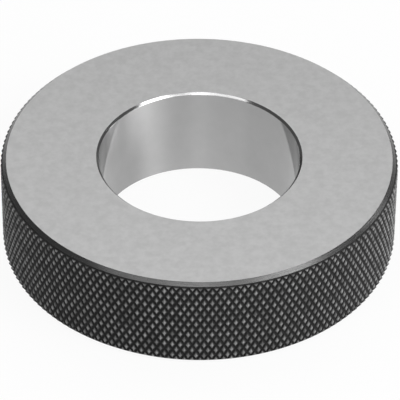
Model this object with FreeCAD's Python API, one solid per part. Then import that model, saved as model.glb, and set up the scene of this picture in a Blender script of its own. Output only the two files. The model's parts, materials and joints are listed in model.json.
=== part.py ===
import FreeCAD, Part

import math
import os

# Setting ring gauge: one turned and hardened steel ring with ground end faces,
# a lapped bore and a diamond knurl over the whole rim.
# It lies flat on z = 0 with the axis of the bore along Z. Sizes are in millimetres and degrees.

# Ring
body_diameter = 71.0
width = 18.0
bore_diameter = 36.0
bore_chamfer = 0.4

# Knurl: two crossed sets of V grooves, with the pitch measured square to a groove
knurl_pitch = 1.2
knurl_angle = 30.0
groove_angle = 120.0
# Plain part of the rim's 45 degree chamfer, from the bottoms of the grooves to the end face
rim_land = 0.65

# Radii of the rim: tips of the knurl, bottoms of its grooves, and edge of the end faces
groove_depth = knurl_pitch / 2 / math.tan(math.radians(groove_angle / 2))
crest_radius = body_diameter / 2
root_radius = crest_radius - groove_depth
face_radius = root_radius - rim_land

# The grooves cut the rim into diamonds. The tip and the four corners of each diamond lie on
# a grid of columns, half a groove apart round the ring, and level rows, half a diamond apart.
grooves = round(math.pi * body_diameter * math.cos(math.radians(knurl_angle)) / knurl_pitch)
columns = 2 * grooves
column_angle = 2 * math.pi / columns
row_height = crest_radius * column_angle / math.tan(math.radians(knurl_angle))
rows = round((width - 2 * rim_land) / row_height)
first_row = (width - rows * row_height) / 2


def rim_point(radius, column, height):
    """Place a point on one column of the rim."""
    angle = (column % columns) * column_angle
    return FreeCAD.Vector(radius * math.cos(angle), radius * math.sin(angle), height)


def knurl_point(column, row):
    """Place the tip of a diamond or, between tips, a point where two grooves cross.

    The first and last rows lie on the chamfers, which cut the knurl off in a zigzag.
    """
    is_tip = (column + row) % 2 == 0
    radius = crest_radius if is_tip else root_radius
    if row == 0:
        height = radius - face_radius
    elif row == rows:
        height = width - (radius - face_radius)
    else:
        height = first_row + row_height * row
    return rim_point(radius, column, height)


def flat_face(*corners):
    """Make the flat face with the given corners."""
    return Part.Face(Part.makePolygon([*corners, corners[0]]))


def knurl_faces(grid):
    """Make the sides of the diamonds, which meet along the bottoms of the grooves."""
    faces = []
    for row in range(rows):
        for column in range(columns):
            corners = [
                grid[row][column],
                grid[row][column + 1],
                grid[row + 1][column + 1],
                grid[row + 1][column],
            ]
            if (column + row) % 2 == 1:
                corners = corners[1:] + corners[:1]
            tip, crossing, next_tip, next_crossing = corners
            faces.append(flat_face(tip, crossing, next_crossing))
            faces.append(flat_face(next_tip, next_crossing, crossing))
    return faces


def end_faces(knurl_edge, height):
    """Make one end of the ring: its rim chamfer and the ground face round the bore."""
    face_edge = [rim_point(face_radius, column, height) for column in range(columns + 1)]
    faces = []
    for column in range(columns):
        inner = face_edge[column:column + 2]
        outer = knurl_edge[column:column + 2]
        faces.append(flat_face(inner[0], inner[1], outer[1], outer[0]))
    mouth = Part.makeCircle(bore_diameter / 2 + bore_chamfer, FreeCAD.Vector(0, 0, height))
    outline = [Part.makePolygon(face_edge), Part.Wire(mouth)]
    faces.append(Part.Face(outline, "Part::FaceMakerBullseye"))
    return faces


def bore_faces():
    """Make the wall of the bore and the chamfer at each of its mouths."""
    bore_radius = bore_diameter / 2
    mouth_radius = bore_radius + bore_chamfer
    profile = Part.makePolygon([
        FreeCAD.Vector(mouth_radius, 0, 0),
        FreeCAD.Vector(bore_radius, 0, bore_chamfer),
        FreeCAD.Vector(bore_radius, 0, width - bore_chamfer),
        FreeCAD.Vector(mouth_radius, 0, width),
    ])
    return profile.revolve(FreeCAD.Vector(0, 0, 0), FreeCAD.Vector(0, 0, 1), 360).Faces


def ring():
    """Close the knurl, the two ends and the bore into one solid."""
    grid = [[knurl_point(column, row) for column in range(columns + 1)] for row in range(rows + 1)]
    faces = knurl_faces(grid)
    faces += end_faces(grid[0], 0)
    faces += end_faces(grid[rows], width)
    faces += bore_faces()
    return Part.makeSolid(Part.makeShell(faces))


os.makedirs("parts", exist_ok=True)
ring().exportStep("parts/ring.step")
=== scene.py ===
import json
import math

import bpy
import numpy as np
from bpy.props import FloatProperty, FloatVectorProperty, IntProperty, PointerProperty
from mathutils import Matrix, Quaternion, Vector


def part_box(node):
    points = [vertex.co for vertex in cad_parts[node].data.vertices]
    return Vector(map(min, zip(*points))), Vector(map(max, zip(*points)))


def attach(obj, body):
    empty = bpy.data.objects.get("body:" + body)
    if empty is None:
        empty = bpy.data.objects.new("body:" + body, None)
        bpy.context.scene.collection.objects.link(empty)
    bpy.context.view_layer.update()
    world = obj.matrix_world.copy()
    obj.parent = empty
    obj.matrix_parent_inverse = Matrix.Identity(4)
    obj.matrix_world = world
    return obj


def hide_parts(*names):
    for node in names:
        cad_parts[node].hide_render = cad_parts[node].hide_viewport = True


bl_info = {
    "name": "Setting ring gauge",
    "version": (1, 0, 0),
    "blender": (4, 5, 0),
    "location": "View3D > Sidebar > Ring",
    "description": "Finishes a knurled setting ring and sets up the studio round it",
    "category": "Object",
}

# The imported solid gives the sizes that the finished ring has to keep.
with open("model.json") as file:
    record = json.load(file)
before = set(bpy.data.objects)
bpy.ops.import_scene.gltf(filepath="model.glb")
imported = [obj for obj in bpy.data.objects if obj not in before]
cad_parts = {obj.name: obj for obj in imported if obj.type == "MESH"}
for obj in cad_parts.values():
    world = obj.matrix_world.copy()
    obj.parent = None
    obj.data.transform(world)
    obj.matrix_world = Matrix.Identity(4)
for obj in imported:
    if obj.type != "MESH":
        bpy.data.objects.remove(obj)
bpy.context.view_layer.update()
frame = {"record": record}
RING_LOW, RING_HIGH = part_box("ring")
BORE = next(mount for mount in frame["record"]["mounts"] if mount["name"] == "bore")
BORE_RADIUS = BORE["dims"]["r_mm"] / 1000
BORE_WALL = BORE["dims"]["length_mm"] / 1000
BODY_RADIUS = RING_HIGH.x
WIDTH = RING_HIGH.z - RING_LOW.z

MM = 0.001
# Gap that keeps the flat tops of the knurl inside the box of the solid
TIP_GAP = 0.002 * MM
# Gap between the floor and the lower end face, so that the two don't flicker
FLOOR_GAP = 0.02 * MM

# The finishes, in the order of the mesh's material slots
FINISHES = ["face", "bore", "mouth", "rim", "knurl"]


class RingSizes(bpy.types.PropertyGroup):
    """Sizes of the ring's details."""

    knurl_pitch: FloatProperty(
        name="Knurl pitch",
        description="Distance between grooves, square to a groove",
        default=1.2 * MM,
        precision=5,
        unit="LENGTH",
    )
    knurl_angle: FloatProperty(
        name="Knurl angle",
        description="Angle between a groove and the axis of the bore",
        default=math.radians(30),
        subtype="ANGLE",
    )
    knurl_depth: FloatProperty(
        name="Knurl depth",
        description="Depth of the grooves below the tops of the diamonds",
        default=0.3464 * MM,
        precision=5,
        unit="LENGTH",
    )
    rim_land: FloatProperty(
        name="Rim land",
        description="Plain part of the rim chamfer, inside the bottoms of the grooves",
        default=0.65 * MM,
        precision=5,
        unit="LENGTH",
    )
    tip_flat: FloatProperty(
        name="Tip flat",
        description="Half width of the flat tops of the diamonds, in pitches",
        default=0.08,
    )
    groove_flat: FloatProperty(
        name="Groove flat",
        description="Half width of the bottoms of the grooves, in pitches",
        default=0.04,
    )
    edge_radius: FloatProperty(
        name="Edge radius",
        description="Radius of the turned edges",
        default=0.05 * MM,
        precision=5,
        unit="LENGTH",
    )
    edge_steps: IntProperty(
        name="Edge steps",
        description="Flats that make up each rounded edge",
        default=2,
    )


class RingFinish(bpy.types.PropertyGroup):
    """Colours and roughness of the ring's finishes."""

    ground_colour: FloatVectorProperty(
        name="Ground steel",
        description="Colour of the ground end faces",
        default=(0.565, 0.565, 0.565),
        subtype="COLOR",
    )
    ground_patch_colour: FloatVectorProperty(
        name="Ground steel patches",
        description="Colour of the faint darker patches on the end faces",
        default=(0.51, 0.51, 0.51),
        subtype="COLOR",
    )
    ground_roughness: FloatProperty(
        name="Ground roughness",
        description="Roughness of the ground end faces",
        default=0.45,
        subtype="FACTOR",
    )
    lapped_colour: FloatVectorProperty(
        name="Lapped steel",
        description="Colour of the lapped bore",
        default=(0.36, 0.36, 0.36),
        subtype="COLOR",
    )
    lapped_roughness: FloatProperty(
        name="Lapped roughness",
        description="Roughness of the lapped bore",
        default=0.47,
        subtype="FACTOR",
    )
    mouth_colour: FloatVectorProperty(
        name="Bore mouths",
        description="Colour of the chamfers at the mouths of the bore",
        default=(0.54, 0.54, 0.54),
        subtype="COLOR",
    )
    mouth_roughness: FloatProperty(
        name="Mouth roughness",
        description="Roughness of the chamfers at the mouths of the bore",
        default=0.12,
        subtype="FACTOR",
    )
    turned_colour: FloatVectorProperty(
        name="Rim chamfers",
        description="Colour of the dark turned chamfers of the rim",
        default=(0.035, 0.035, 0.035),
        subtype="COLOR",
    )
    turned_roughness: FloatProperty(
        name="Chamfer roughness",
        description="Roughness of the dark turned chamfers of the rim",
        default=0.25,
        subtype="FACTOR",
    )
    black_colour: FloatVectorProperty(
        name="Blackened steel",
        description="Colour of the blackened knurl",
        default=(0.013, 0.013, 0.013),
        subtype="COLOR",
    )
    black_roughness: FloatProperty(
        name="Blackened roughness",
        description="Roughness of the blackened knurl",
        default=0.6,
        subtype="FACTOR",
    )
    rub_start: FloatProperty(
        name="Rub start",
        description="Depth below the tips of the diamonds at which the rubbed steel begins",
        default=0.23 * MM,
        precision=5,
        unit="LENGTH",
    )
    rub_full: FloatProperty(
        name="Rub full",
        description="Depth below the tips of the diamonds at which the rub is strongest",
        default=0.02 * MM,
        precision=5,
        unit="LENGTH",
    )
    worn_colour: FloatVectorProperty(
        name="Rubbed steel",
        description="Colour of the blackened steel where the tips are rubbed",
        default=(0.26, 0.26, 0.26),
        subtype="COLOR",
    )
    worn_roughness: FloatProperty(
        name="Rubbed roughness",
        description="Roughness of the rubbed tips",
        default=0.3,
        subtype="FACTOR",
    )


class StudioSettings(bpy.types.PropertyGroup):
    """Camera, floor and lights."""

    camera_elevation: FloatProperty(
        name="Camera elevation",
        description="Angle of the camera above the floor, seen from the origin",
        default=math.radians(40.195),
        subtype="ANGLE",
    )
    camera_distance: FloatProperty(
        name="Camera distance",
        description="Distance from the origin to the camera",
        default=0.62365,
        precision=5,
        unit="LENGTH",
    )
    camera_aim: FloatVectorProperty(
        name="Camera aim",
        description="Point in the middle of the picture",
        default=(0.00018, 0.0, 0.00762),
        precision=5,
        subtype="XYZ",
        unit="LENGTH",
    )
    camera_roll: FloatProperty(
        name="Camera roll",
        description="Turn of the camera about its line of sight",
        default=math.radians(0.429),
        subtype="ANGLE",
    )
    camera_lens: FloatProperty(
        name="Lens",
        description="Focal length in millimetres",
        default=308.69,
    )
    floor_size: FloatProperty(
        name="Floor size",
        description="Side of the square floor",
        default=4.0,
        unit="LENGTH",
    )
    floor_colour: FloatVectorProperty(
        name="Floor",
        description="Colour of the floor",
        default=(0.85, 0.85, 0.85),
        subtype="COLOR",
    )
    floor_glow: FloatProperty(
        name="Floor glow",
        description="Share of plain white in the floor as seen directly or in the metal",
        default=0.92,
        subtype="FACTOR",
    )
    wall_colour: FloatVectorProperty(
        name="Studio walls",
        description="Colour of the light from the studio's walls",
        default=(0.16, 0.16, 0.16),
        subtype="COLOR",
    )


# Most of a noise's values lie between these two
NOISE_LOW = 0.35
NOISE_HIGH = 0.65

# Blender's names of the nodes that the finishes use
NODE_TYPES = {
    "bump": "ShaderNodeBump",
    "coordinates": "ShaderNodeTexCoord",
    "group": "ShaderNodeGroup",
    "math": "ShaderNodeMath",
    "mix": "ShaderNodeMix",
    "noise": "ShaderNodeTexNoise",
    "range": "ShaderNodeMapRange",
    "tangent": "ShaderNodeTangent",
    "vector": "ShaderNodeVectorMath",
}


def node(tree, kind, inputs=(), **settings):
    """Add a node, set its properties and its plain inputs, and join the inputs that are sockets."""
    made = tree.nodes.new(NODE_TYPES[kind])
    for name, value in settings.items():
        setattr(made, name, value)
    for name, value in dict(inputs).items():
        if isinstance(value, bpy.types.NodeSocket):
            tree.links.new(value, made.inputs[name])
        else:
            made.inputs[name].default_value = value
    return made


def new_group(name, inputs, outputs):
    """Start a node group with the given sockets, and return it with its two end nodes."""
    group = bpy.data.node_groups.new(name, "ShaderNodeTree")
    for socket, kind in inputs.items():
        group.interface.new_socket(socket, in_out="INPUT", socket_type=kind)
    for socket, kind in outputs.items():
        group.interface.new_socket(socket, in_out="OUTPUT", socket_type=kind)
    return group, group.nodes.new("NodeGroupInput"), group.nodes.new("NodeGroupOutput")


def blend_colours(tree, share, first, second):
    """Blend two colours. This node takes colours at its seventh and eighth inputs.

    The blended colour comes out of its third output.
    """
    return node(tree, "mix", {0: share, 6: first, 7: second}, data_type="RGBA").outputs[2]


def darkened(colour, share):
    """Colour with only a share of its light left."""
    return [share * part for part in colour]


def mottle_group():
    """Slow changes of tone and roughness, as steel has after grinding, lapping or blackening."""
    group, given, result = new_group(
        "Steel mottle",
        {
            "Colour": "NodeSocketColor",
            "Patch colour": "NodeSocketColor",
            "Roughness": "NodeSocketFloat",
            "Patches per metre": "NodeSocketFloat",
            "Roughness change": "NodeSocketFloat",
        },
        {"Colour": "NodeSocketColor", "Roughness": "NodeSocketFloat"},
    )
    place = node(group, "coordinates").outputs["Object"]
    patches = node(
        group,
        "noise",
        {
            "Vector": place,
            "Scale": given.outputs["Patches per metre"],
            "Detail": 5.0,
            "Roughness": 0.6,
        },
    ).outputs["Fac"]
    share = node(
        group,
        "range",
        {"Value": patches, "From Min": NOISE_LOW, "From Max": NOISE_HIGH},
    ).outputs["Result"]
    coloured = blend_colours(group, share, given.outputs["Colour"], given.outputs["Patch colour"])
    rough = node(
        group,
        "math",
        {
            0: share,
            1: given.outputs["Roughness change"],
            2: given.outputs["Roughness"],
        },
        operation="MULTIPLY_ADD",
    ).outputs[0]
    group.links.new(coloured, result.inputs["Colour"])
    group.links.new(rough, result.inputs["Roughness"])
    return group


def tool_marks_group():
    """Fine lines left by a tool. They lie close in the direction with many lines per metre."""
    group, given, result = new_group(
        "Tool marks",
        {"Lines per metre": "NodeSocketVector", "Depth": "NodeSocketFloat"},
        {"Mask": "NodeSocketFloat", "Normal": "NodeSocketVector"},
    )
    place = node(group, "coordinates").outputs["Object"]
    stretched = node(
        group,
        "vector",
        {0: place, 1: given.outputs["Lines per metre"]},
        operation="MULTIPLY",
    ).outputs[0]
    lines = node(
        group,
        "noise",
        {"Vector": stretched, "Scale": 1.0, "Detail": 3.0, "Roughness": 0.7},
    ).outputs["Fac"]
    height = node(
        group,
        "math",
        {0: lines, 1: given.outputs["Depth"]},
        operation="MULTIPLY",
    ).outputs[0]
    bump = node(group, "bump", {"Height": height, "Strength": 1.0, "Distance": 1.0})
    group.links.new(lines, result.inputs["Mask"])
    group.links.new(bump.outputs["Normal"], result.inputs["Normal"])
    return group


def start_material(name, metallic=1.0):
    """Make a material and return it with its nodes and its shader."""
    material = bpy.data.materials.new(name)
    material.use_nodes = True
    tree = material.node_tree
    shader = tree.nodes["Principled BSDF"]
    shader.inputs["Metallic"].default_value = metallic
    return material, tree, shader


def add_mottle(tree, group, colour, patch_colour, roughness, patches, roughness_change):
    """Place the mottle in a material with this material's own values."""
    return node(
        tree,
        "group",
        {
            "Colour": (*colour, 1),
            "Patch colour": (*patch_colour, 1),
            "Roughness": roughness,
            "Patches per metre": patches,
            "Roughness change": roughness_change,
        },
        node_tree=group,
    )


def ground_steel(finish, mottle, tool_marks):
    """End faces: pale steel with fine straight grinding lines and faint patches."""
    material, tree, shader = start_material("ground_steel")
    patches = add_mottle(
        tree,
        mottle,
        finish.ground_colour,
        finish.ground_patch_colour,
        finish.ground_roughness,
        patches=700.0,
        roughness_change=0.03,
    )
    lines = node(
        tree,
        "group",
        {"Lines per metre": (400.0, 4000.0, 400.0), "Depth": 2.5e-6},
        node_tree=tool_marks,
    )
    tree.links.new(patches.outputs["Colour"], shader.inputs["Base Color"])
    tree.links.new(patches.outputs["Roughness"], shader.inputs["Roughness"])
    tree.links.new(lines.outputs["Normal"], shader.inputs["Normal"])
    return material


def lapped_steel(finish, mottle, tool_marks):
    """Bore: polished steel whose fine lines run round it and draw reflections out along it.

    A clear mirror shine lies over the softer one.
    """
    material, tree, shader = start_material("lapped_steel")
    patches = add_mottle(
        tree,
        mottle,
        finish.lapped_colour,
        darkened(finish.lapped_colour, 0.94),
        finish.lapped_roughness,
        patches=120.0,
        roughness_change=0.03,
    )
    lines = node(
        tree,
        "group",
        {"Lines per metre": (90.0, 90.0, 4000.0), "Depth": 0.4e-6},
        node_tree=tool_marks,
    )
    round_bore = node(tree, "tangent", direction_type="RADIAL", axis="Z")
    shader.inputs["Anisotropic"].default_value = 1.0
    shader.inputs["Anisotropic Rotation"].default_value = 0.25
    shader.inputs["Coat Weight"].default_value = 1.0
    shader.inputs["Coat Roughness"].default_value = 0.04
    shader.inputs["Coat IOR"].default_value = 2.7
    tree.links.new(round_bore.outputs["Tangent"], shader.inputs["Tangent"])
    tree.links.new(patches.outputs["Colour"], shader.inputs["Base Color"])
    tree.links.new(patches.outputs["Roughness"], shader.inputs["Roughness"])
    tree.links.new(lines.outputs["Normal"], shader.inputs["Normal"])
    return material


def turned_steel(name, colour, roughness, metallic, mottle, tool_marks):
    """Chamfers of the bore and the rim: bright or blackened steel with the turning tool's lines."""
    material, tree, shader = start_material(name, metallic)
    shader.inputs["Specular IOR Level"].default_value = 0.8
    patches = add_mottle(
        tree,
        mottle,
        colour,
        darkened(colour, 0.9),
        roughness,
        patches=300.0,
        roughness_change=0.04,
    )
    lines = node(
        tree,
        "group",
        {"Lines per metre": (60.0, 60.0, 4500.0), "Depth": 3.0e-5},
        node_tree=tool_marks,
    )
    line_colour = (*darkened(colour, 0.4), 1)
    lined = blend_colours(tree, lines.outputs["Mask"], patches.outputs["Colour"], line_colour)
    tree.links.new(lined, shader.inputs["Base Color"])
    tree.links.new(patches.outputs["Roughness"], shader.inputs["Roughness"])
    tree.links.new(lines.outputs["Normal"], shader.inputs["Normal"])
    return material


def blackened_steel(finish, mottle):
    """Knurl: a black oxide skin, rubbed lighter towards the tips of the diamonds, unevenly."""
    material, tree, shader = start_material("blackened_steel", metallic=0.0)
    shader.inputs["Specular IOR Level"].default_value = 0.2
    patches = add_mottle(
        tree,
        mottle,
        finish.black_colour,
        darkened(finish.black_colour, 0.7),
        finish.black_roughness,
        patches=500.0,
        roughness_change=0.08,
    )
    place = node(tree, "coordinates").outputs["Object"]
    level = node(tree, "vector", {0: place, 1: (1.0, 1.0, 0.0)}, operation="MULTIPLY").outputs[0]
    radius = node(tree, "vector", {0: level}, operation="LENGTH").outputs["Value"]
    near_tip = node(
        tree,
        "range",
        {
            "Value": radius,
            "From Min": BODY_RADIUS - finish.rub_start,
            "From Max": BODY_RADIUS - finish.rub_full,
        },
    ).outputs["Result"]
    handling = node(tree, "noise", {"Vector": place, "Scale": 650.0, "Detail": 1.0}).outputs["Fac"]
    uneven = node(
        tree,
        "range",
        {
            "Value": handling,
            "From Min": NOISE_LOW,
            "From Max": NOISE_HIGH,
            "To Min": 0.45,
            "To Max": 1.2,
        },
    ).outputs["Result"]
    rubbed = node(
        tree,
        "math",
        {0: near_tip, 1: uneven},
        operation="MULTIPLY",
        use_clamp=True,
    ).outputs[0]
    colour = blend_colours(tree, rubbed, patches.outputs["Colour"], (*finish.worn_colour, 1))
    smoother = node(
        tree,
        "range",
        {
            "Value": rubbed,
            "To Min": patches.outputs["Roughness"],
            "To Max": finish.worn_roughness,
        },
    ).outputs["Result"]
    tree.links.new(colour, shader.inputs["Base Color"])
    tree.links.new(smoother, shader.inputs["Roughness"])
    return material


class KnurlGrid:
    """Columns and rows of the diamond knurl, set out as on the solid.

    Columns stand half a groove apart round the ring and rows half a diamond apart up the width.
    Tips of diamonds and crossings of grooves take turns on this grid.
    """

    def __init__(self, sizes):
        self.top_radius = BODY_RADIUS - TIP_GAP
        self.root_radius = BODY_RADIUS - sizes.knurl_depth
        self.face_radius = self.root_radius - sizes.rim_land
        around = 2 * math.pi * BODY_RADIUS
        grooves = round(around * math.cos(sizes.knurl_angle) / sizes.knurl_pitch)
        self.columns = 2 * grooves
        self.column_angle = 2 * math.pi / self.columns
        self.row_height = BODY_RADIUS * self.column_angle / math.tan(sizes.knurl_angle)
        self.rows = round((WIDTH - 2 * sizes.rim_land) / self.row_height)
        self.first_row = (WIDTH - self.rows * self.row_height) / 2
        self.tip_flat = sizes.tip_flat
        self.groove_flat = sizes.groove_flat

    def radius(self, across, along):
        """Radius of the rim at a place in a diamond, given square to the two sets of grooves.

        Both run from minus a half to a half of a pitch, with the tip in the middle.
        """
        bottom = 0.5 - self.groove_flat
        rise = (bottom - max(abs(across), abs(along))) / (bottom - self.tip_flat)
        return self.root_radius + (self.top_radius - self.root_radius) * min(max(rise, 0), 1)

    def chamfer_height(self, radius, row):
        """Height of the rim chamfer at a radius, at the end of the ring that the row is nearer."""
        from_end = radius - self.face_radius
        return from_end if row < self.rows / 2 else WIDTH - from_end

    def grid_height(self, column, row):
        """Height of a tip or crossing. Those of the first and last rows lie on the chamfers."""
        if row in (0, self.rows):
            is_tip = (column + row) % 2 == 0
            return self.chamfer_height(BODY_RADIUS if is_tip else self.root_radius, row)
        return self.first_row + self.row_height * row

    def place(self, column, row, across, along):
        """Point of the knurl in the diamond whose tip stands at the given column and row."""
        sideways = across + along
        upward = across - along
        radius = self.radius(across, along)
        if row + upward in (0, self.rows):
            height = self.chamfer_height(radius, row)
        else:
            tip = self.grid_height(column, row)
            side = self.grid_height(column + 1, row)
            end = self.grid_height(column, row + (1 if upward > 0 else -1))
            height = tip + abs(sideways) * (side - tip) + abs(upward) * (end - tip)
        angle = (column + sideways) * self.column_angle
        return radius * math.cos(angle), radius * math.sin(angle), height


def diamond_faces(steps, half):
    """Faces of one diamond as corner pairs, which count the steps square to each set of grooves.

    Sides of the diamond are split along its ridges. Half is 1 for the upper half alone,
    -1 for the lower half and 0 for a whole diamond.
    """
    middle = (steps - 1) / 2
    faces = []
    for i in range(steps):
        for j in range(steps):
            upper = [(i, j), (i + 1, j + 1), (i + 1, j)]
            lower = [(i, j), (i, j + 1), (i + 1, j + 1)]
            if i == j:
                faces += [lower] * (half <= 0) + [upper] * (half >= 0)
            elif half and (i > j) != (half > 0):
                continue
            elif (i - middle) * (j - middle) > 0:
                faces += [lower, upper]
            elif (i - middle) * (j - middle) < 0:
                faces += [[(i, j), (i, j + 1), (i + 1, j)], [(i + 1, j), (i, j + 1), (i + 1, j + 1)]]
            else:
                faces.append([(i, j), (i, j + 1), (i + 1, j + 1), (i + 1, j)])
    return faces


def rounded_corner(before, corner, after, radius, steps):
    """Points of a rounded corner of the turned section, with one more on each straight side.

    The extra points keep the shading of the wide faces flat up to the rounded edge.
    """
    before, corner, after = Vector(before), Vector(corner), Vector(after)
    inward = (before - corner).normalized()
    outward = (after - corner).normalized()
    turn = math.pi - inward.angle(outward)
    tangent = radius * math.tan(turn / 2)
    centre = corner + (inward + outward).normalized() * radius / math.cos(turn / 2)
    first = corner + inward * tangent - centre
    last = corner + outward * tangent - centre
    arc = [first.slerp(last, step / steps) for step in range(steps + 1)]
    points = [corner + inward * (tangent + radius)]
    points += [centre + spoke * radius for spoke in arc]
    points.append(corner + outward * (tangent + radius))
    return points


def turned_section(sizes, grid):
    """Radius and height of each ring of points, and the finish of each band between two rings.

    The points run from the upper rim chamfer through the bore to the lower rim chamfer.
    """
    mouth = (WIDTH - BORE_WALL) / 2
    corners = [
        (BODY_RADIUS, WIDTH - (BODY_RADIUS - grid.face_radius)),
        (grid.face_radius, WIDTH),
        (BORE_RADIUS + mouth, WIDTH),
        (BORE_RADIUS, WIDTH - mouth),
        (BORE_RADIUS, mouth),
        (BORE_RADIUS + mouth, 0),
        (grid.face_radius, 0),
        (BODY_RADIUS, BODY_RADIUS - grid.face_radius),
    ]
    points = []
    for before, corner, after in zip(corners, corners[1:], corners[2:]):
        points += rounded_corner(before, corner, after, sizes.edge_radius, sizes.edge_steps)
    # The plain part of each rim chamfer ends just inside the bottoms of the grooves.
    edge = grid.root_radius - sizes.edge_radius
    points.insert(0, Vector((edge, grid.chamfer_height(edge, grid.rows))))
    points.append(Vector((edge, grid.chamfer_height(edge, 0))))
    tolerance = sizes.edge_radius / 1000
    middle_of_face = (grid.face_radius + BORE_RADIUS) / 2
    bands = []
    for outer, inner in zip(points, points[1:]):
        if abs(outer.y - inner.y) < tolerance:
            bands.append("face")
        elif outer.x > middle_of_face:
            bands.append("rim")
        elif abs(outer.x - inner.x) < tolerance:
            bands.append("bore")
        else:
            bands.append("mouth")
    return points, bands


class RingMesh:
    """Collects the points and faces of the ring. Points at the same place are shared."""

    def __init__(self):
        self.points = []
        self.faces = []
        self.finishes = []
        self.flat = []
        self.found = {}

    def point(self, place, key):
        """Number of the point with this key, added if it is new."""
        if key not in self.found:
            self.found[key] = len(self.points)
            self.points.append(place)
        return self.found[key]

    def face(self, corners, finish, flat=False):
        """Add a face. The shading of a flat one isn't smoothed."""
        self.faces.append(corners)
        self.finishes.append(FINISHES.index(finish))
        self.flat.append(flat)


def add_knurl(ring, grid):
    """Add every diamond of the rim, with halves at both ends.

    Returns the points of the lower end and of the upper end, each in order round the ring.
    """
    flats = [grid.tip_flat, 0.5 - grid.groove_flat, 0.5]
    steps = [-step for step in reversed(flats)] + flats
    faces = {half: diamond_faces(len(steps) - 1, half) for half in (-1, 0, 1)}
    ends = {0: {}, grid.rows: {}}
    for row in range(grid.rows + 1):
        half = 1 if row == 0 else -1 if row == grid.rows else 0
        for column in range(row % 2, grid.columns, 2):
            numbers = {}
            for i, across in enumerate(steps):
                for j, along in enumerate(steps):
                    if half * (across - along) < 0:
                        continue
                    # Rounded, so that diamonds side by side find the points that they share
                    at_column = round((column + across + along) % grid.columns, 6)
                    at_row = round(row + across - along, 6)
                    place = grid.place(column, row, across, along)
                    numbers[i, j] = ring.point(place, (at_column % grid.columns, at_row))
                    if at_row in ends:
                        ends[at_row][at_column % grid.columns] = numbers[i, j]
            for corners in faces[half]:
                ring.face([numbers[corner] for corner in corners], "knurl", flat=True)
    return [[end[column] for column in sorted(end)] for end in (ends[0], ends[grid.rows])]


def add_turned_surface(ring, grid, sizes, lower_end, upper_end):
    """Add the chamfers, end faces and bore as bands between rings of points."""
    section, bands = turned_section(sizes, grid)
    spokes = [Vector(ring.points[number][:2]).normalized() for number in upper_end]
    rings = [upper_end]
    for index, (radius, height) in enumerate(section):
        rings.append([
            ring.point((radius * spoke.x, radius * spoke.y, height), (index, "turned", number))
            for number, spoke in enumerate(spokes)
        ])
    rings.append(lower_end)
    for finish, outer, inner in zip(["knurl", *bands, "knurl"], rings, rings[1:]):
        for here in range(len(spokes)):
            there = (here + 1) % len(spokes)
            corners = [outer[here], outer[there], inner[there], inner[here]]
            ring.face(corners, finish, flat=finish == "knurl")


def unrolled_map(mesh):
    """Lay the surface out flat: the rim in two strips, the bore in one, and both end faces."""
    gap = 2 * MM
    strip = WIDTH + gap
    corners = len(mesh.loops)
    vertex = np.empty(corners, int)
    mesh.loops.foreach_get("vertex_index", vertex)
    places = np.array([point.co for point in mesh.vertices])[vertex]
    sizes = np.array([face.loop_total for face in mesh.polygons])
    centres = np.repeat(np.array([face.center for face in mesh.polygons]), sizes, axis=0)
    finish = np.repeat([face.material_index for face in mesh.polygons], sizes)
    middle = np.arctan2(centres[:, 1], centres[:, 0]) % (2 * math.pi)
    angle = np.arctan2(places[:, 1], places[:, 0])
    angle = middle + (angle - middle + math.pi) % (2 * math.pi) - math.pi
    second = middle > math.pi
    upper = centres[:, 2] > WIDTH / 2
    rim = np.column_stack([(angle - math.pi * second) * BODY_RADIUS, places[:, 2] + strip * second])
    bore = np.column_stack([angle * BORE_RADIUS, places[:, 2] + 2 * strip])
    disc = 2 * BODY_RADIUS + gap
    face = np.column_stack([places[:, 0] + disc * upper, places[:, 1] + 3 * strip]) + BODY_RADIUS
    in_bore = np.isin(finish, [FINISHES.index("bore"), FINISHES.index("mouth")])
    on_face = finish == FINISHES.index("face")
    flat = np.select([on_face[:, None], in_bore[:, None]], [face, bore], rim)
    layer = mesh.uv_layers.new(name="OFBake")
    layer.uv.foreach_set("vector", ((flat + gap) / (2 * disc + gap)).astype(np.float32).ravel())


def build_ring(sizes, finish):
    """Make the ring as one closed mesh with all its finishes."""
    grid = KnurlGrid(sizes)
    ring = RingMesh()
    lower_end, upper_end = add_knurl(ring, grid)
    add_turned_surface(ring, grid, sizes, lower_end, upper_end)
    mesh = bpy.data.meshes.new("setting_ring")
    mesh.from_pydata(ring.points, [], ring.faces)
    mesh.polygons.foreach_set("material_index", ring.finishes)
    mesh.polygons.foreach_set("use_smooth", [not flat for flat in ring.flat])
    mesh.update()
    unrolled_map(mesh)
    mottle = mottle_group()
    tool_marks = tool_marks_group()
    made = {
        "face": ground_steel(finish, mottle, tool_marks),
        "bore": lapped_steel(finish, mottle, tool_marks),
        "mouth": turned_steel(
            "turned_steel", finish.mouth_colour, finish.mouth_roughness, 1.0, mottle, tool_marks
        ),
        "rim": turned_steel(
            "dark_turned_steel", finish.turned_colour, finish.turned_roughness, 0.0, mottle, tool_marks
        ),
        "knurl": blackened_steel(finish, mottle),
    }
    for name in FINISHES:
        mesh.materials.append(made[name])
    piece = bpy.data.objects.new("setting_ring", mesh)
    bpy.context.scene.collection.objects.link(piece)
    return piece


def from_angles(azimuth, elevation, distance):
    """Place round the ring. Azimuth 0 is in front and 90 degrees on the right."""
    level = math.cos(elevation) * distance
    return Vector((
        math.sin(azimuth) * level,
        -math.cos(azimuth) * level,
        math.sin(elevation) * distance,
    ))


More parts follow.
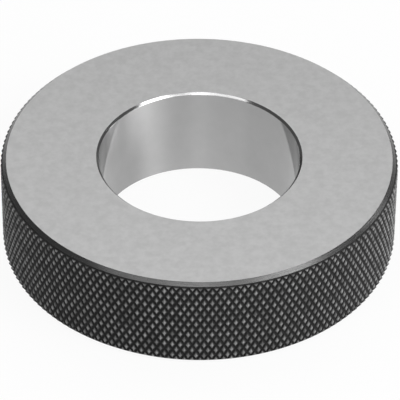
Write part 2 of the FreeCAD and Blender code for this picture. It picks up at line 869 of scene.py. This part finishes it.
def add_softbox(name, azimuth, elevation, distance, size, radiance):
    """Add a flat rectangular lamp that faces the ring and shines evenly, at a given brightness."""
    lamp = bpy.data.lights.new(name, "AREA")
    lamp.shape = "RECTANGLE"
    lamp.size, lamp.size_y = size
    lamp.energy = radiance * math.pi * size[0] * size[1]
    softbox = bpy.data.objects.new(name, lamp)
    softbox.location = from_angles(math.radians(azimuth), math.radians(elevation), distance)
    softbox.rotation_euler = (-softbox.location).to_track_quat("-Z", "Y").to_euler()
    bpy.context.scene.collection.objects.link(softbox)


def add_floor(studio):
    """Add the pale floor. It looks white directly and in the metal, and keeps the ring's shadow."""
    half = studio.floor_size / 2
    mesh = bpy.data.meshes.new("floor")
    corners = [(-half, -half, 0), (half, -half, 0), (half, half, 0), (-half, half, 0)]
    mesh.from_pydata(corners, [], [(0, 1, 2, 3)])
    material = bpy.data.materials.new("floor")
    material.use_nodes = True
    tree = material.node_tree
    shader = tree.nodes["Principled BSDF"]
    shader.inputs["Base Color"].default_value = (*studio.floor_colour, 1)
    shader.inputs["Roughness"].default_value = 0.9
    path = tree.nodes.new("ShaderNodeLightPath")
    seen = node(
        tree,
        "math",
        {0: path.outputs["Is Camera Ray"], 1: path.outputs["Is Glossy Ray"]},
        operation="ADD",
    ).outputs[0]
    seen = node(
        tree,
        "math",
        {0: seen, 1: path.outputs["Is Transmission Ray"]},
        operation="ADD",
        use_clamp=True,
    ).outputs[0]
    share = node(tree, "math", {0: seen, 1: studio.floor_glow}, operation="MULTIPLY").outputs[0]
    white = tree.nodes.new("ShaderNodeEmission")
    blend = tree.nodes.new("ShaderNodeMixShader")
    tree.links.new(share, blend.inputs["Fac"])
    tree.links.new(shader.outputs["BSDF"], blend.inputs[1])
    tree.links.new(white.outputs["Emission"], blend.inputs[2])
    tree.links.new(blend.outputs["Shader"], tree.nodes["Material Output"].inputs["Surface"])
    mesh.materials.append(material)
    floor = bpy.data.objects.new("floor", mesh)
    floor.location.z = -FLOOR_GAP
    bpy.context.scene.collection.objects.link(floor)


def add_camera(studio):
    """Add the camera, which sees the ring from the photograph's side."""
    lens = bpy.data.cameras.new("camera")
    lens.lens = studio.camera_lens
    lens.clip_start = 0.01
    camera = bpy.data.objects.new("camera", lens)
    camera.location = from_angles(0, studio.camera_elevation, studio.camera_distance)
    sight = Vector(studio.camera_aim) - camera.location
    roll = Quaternion((0, 0, 1), studio.camera_roll)
    camera.rotation_mode = "QUATERNION"
    camera.rotation_quaternion = sight.to_track_quat("-Z", "Y") @ roll
    bpy.context.scene.collection.objects.link(camera)
    bpy.context.scene.camera = camera


class SETTINGRING_OT_ring(bpy.types.Operator):
    """Build the finished ring in place of the plain solid"""

    bl_idname = "setting_ring.ring"
    bl_label = "Build ring"

    def execute(self, context):
        piece = build_ring(context.scene.ring_sizes, context.scene.ring_finish)
        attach(piece, "root")
        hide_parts("ring")
        return {"FINISHED"}


class SETTINGRING_OT_stage(bpy.types.Operator):
    """Set up the floor, the studio light and the camera"""

    bl_idname = "setting_ring.stage"
    bl_label = "Set up studio"

    def execute(self, context):
        studio = context.scene.ring_studio
        add_floor(studio)
        # Azimuth and elevation in degrees, distance and size in metres, and brightness
        add_softbox("front_left_softbox", -24, 47, 0.95, (0.85, 0.34), 2.3)
        add_softbox("front_right_softbox", 28, 47, 0.95, (1.0, 0.34), 2.3)
        add_softbox("key_softbox", 57, 43, 0.9, (0.36, 0.32), 5.4)
        add_softbox("top_softbox", 180, 62, 0.95, (1.4, 0.8), 1.3)
        add_softbox("low_softbox", 68, 11, 0.9, (0.44, 0.36), 6.5)
        add_softbox("side_softbox", 104, 8, 0.9, (0.28, 0.25), 6.0)
        add_camera(studio)
        world = bpy.data.worlds.new("studio_walls")
        world.use_nodes = True
        world.node_tree.nodes["Background"].inputs["Color"].default_value = (*studio.wall_colour, 1)
        context.scene.world = world
        context.scene.view_settings.view_transform = "Standard"
        return {"FINISHED"}


class SETTINGRING_PT_panel(bpy.types.Panel):
    """Sizes, finishes and studio of the setting ring"""

    bl_idname = "SETTINGRING_PT_panel"
    bl_label = "Setting ring"
    bl_space_type = "VIEW_3D"
    bl_region_type = "UI"
    bl_category = "Ring"

    def draw(self, context):
        scene = context.scene
        for settings, operator in (
            (scene.ring_sizes, None),
            (scene.ring_finish, SETTINGRING_OT_ring),
            (scene.ring_studio, SETTINGRING_OT_stage),
        ):
            box = self.layout.box()
            for name in settings.__annotations__:
                box.prop(settings, name)
            if operator:
                box.operator(operator.bl_idname)


CLASSES = (
    RingSizes,
    RingFinish,
    StudioSettings,
    SETTINGRING_OT_ring,
    SETTINGRING_OT_stage,
    SETTINGRING_PT_panel,
)


def register():
    for cls in CLASSES:
        bpy.utils.register_class(cls)
    bpy.types.Scene.ring_sizes = PointerProperty(type=RingSizes)
    bpy.types.Scene.ring_finish = PointerProperty(type=RingFinish)
    bpy.types.Scene.ring_studio = PointerProperty(type=StudioSettings)


def unregister():
    del bpy.types.Scene.ring_studio
    del bpy.types.Scene.ring_finish
    del bpy.types.Scene.ring_sizes
    for cls in reversed(CLASSES):
        bpy.utils.unregister_class(cls)


def main():
    register()
    bpy.ops.setting_ring.ring()
    bpy.ops.setting_ring.stage()


if __name__ == "__main__":
    main()
